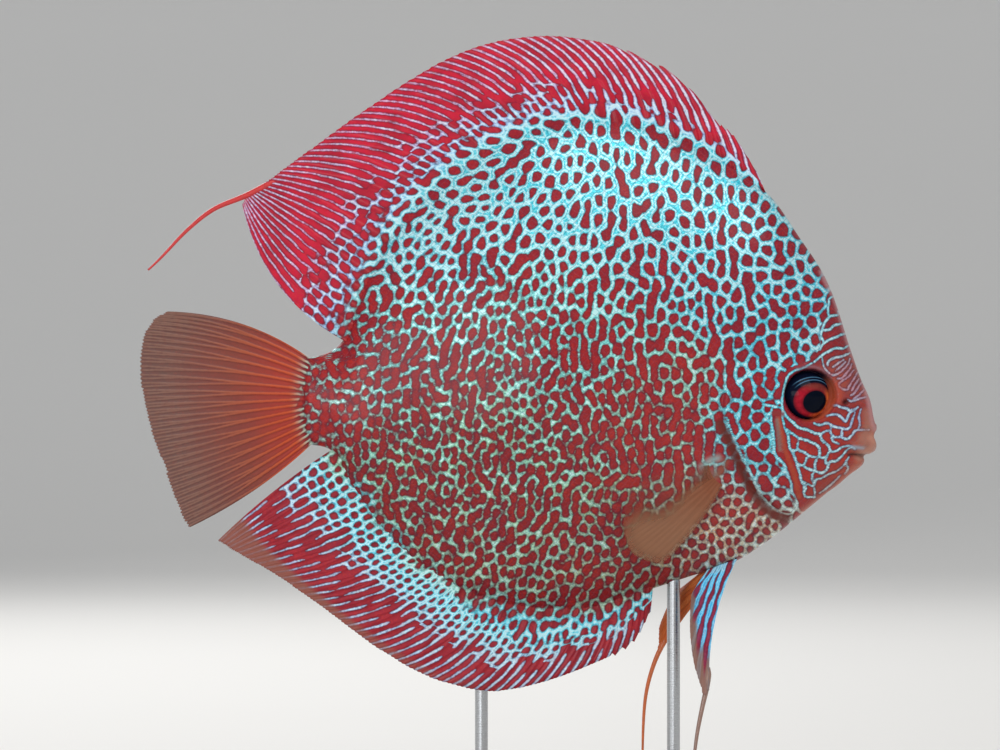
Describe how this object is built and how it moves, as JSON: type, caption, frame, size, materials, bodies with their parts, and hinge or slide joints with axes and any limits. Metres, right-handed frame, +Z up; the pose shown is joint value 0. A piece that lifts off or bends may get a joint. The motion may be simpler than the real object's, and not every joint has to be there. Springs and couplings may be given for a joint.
{
  "type": "discus fish",
  "caption": "Life-size discus fish, a tall flat disc of a body with spread ray fins and trailing pelvic threads, held on a plain stand.",
  "frame": {"origin": "on the floor, under the middle of the model's box, at the underside of the stand's base", "axes": "+X the way the fish faces, +Y its left side, +Z up"},
  "size_m": [0.1707, 0.066, 0.1889],
  "materials": {
    "head": "wet scaled skin",
    "lower_jaw": "wet scaled skin",
    "torso": "wet scaled skin",
    "tail_stalk": "wet scaled skin",
    "gill_cover_right": "wet scaled skin",
    "gill_cover_left": "wet scaled skin",
    "eye_right": "clear glossy eye",
    "eye_left": "clear glossy eye",
    "dorsal_fin": "wet scaled skin",
    "anal_fin": "wet scaled skin",
    "tail_fin": "wet scaled skin",
    "pectoral_fin_right": "wet scaled skin",
    "pectoral_fin_left": "wet scaled skin",
    "pelvic_fin_right": "wet scaled skin",
    "pelvic_fin_left": "wet scaled skin",
    "stand_base": "satin walnut",
    "stand_rod_front": "plain bright steel",
    "stand_rod_rear": "plain bright steel"
  },
  "bodies": {
    "root": {"head": "head", "lower_jaw": "lower_jaw", "torso": "torso", "tail_stalk": "tail_stalk", "gill_cover_right": "gill_cover_right", "gill_cover_left": "gill_cover_left", "eye_right": "eye_right", "eye_left": "eye_left", "dorsal_fin": "dorsal_fin", "anal_fin": "anal_fin", "tail_fin": "tail_fin", "pectoral_fin_right": "pectoral_fin_right", "pectoral_fin_left": "pectoral_fin_left", "pelvic_fin_right": "pelvic_fin_right", "pelvic_fin_left": "pelvic_fin_left", "stand_base": "stand_base", "stand_rod_front": "stand_rod_front", "stand_rod_rear": "stand_rod_rear"}
  },
  "joints": []
}
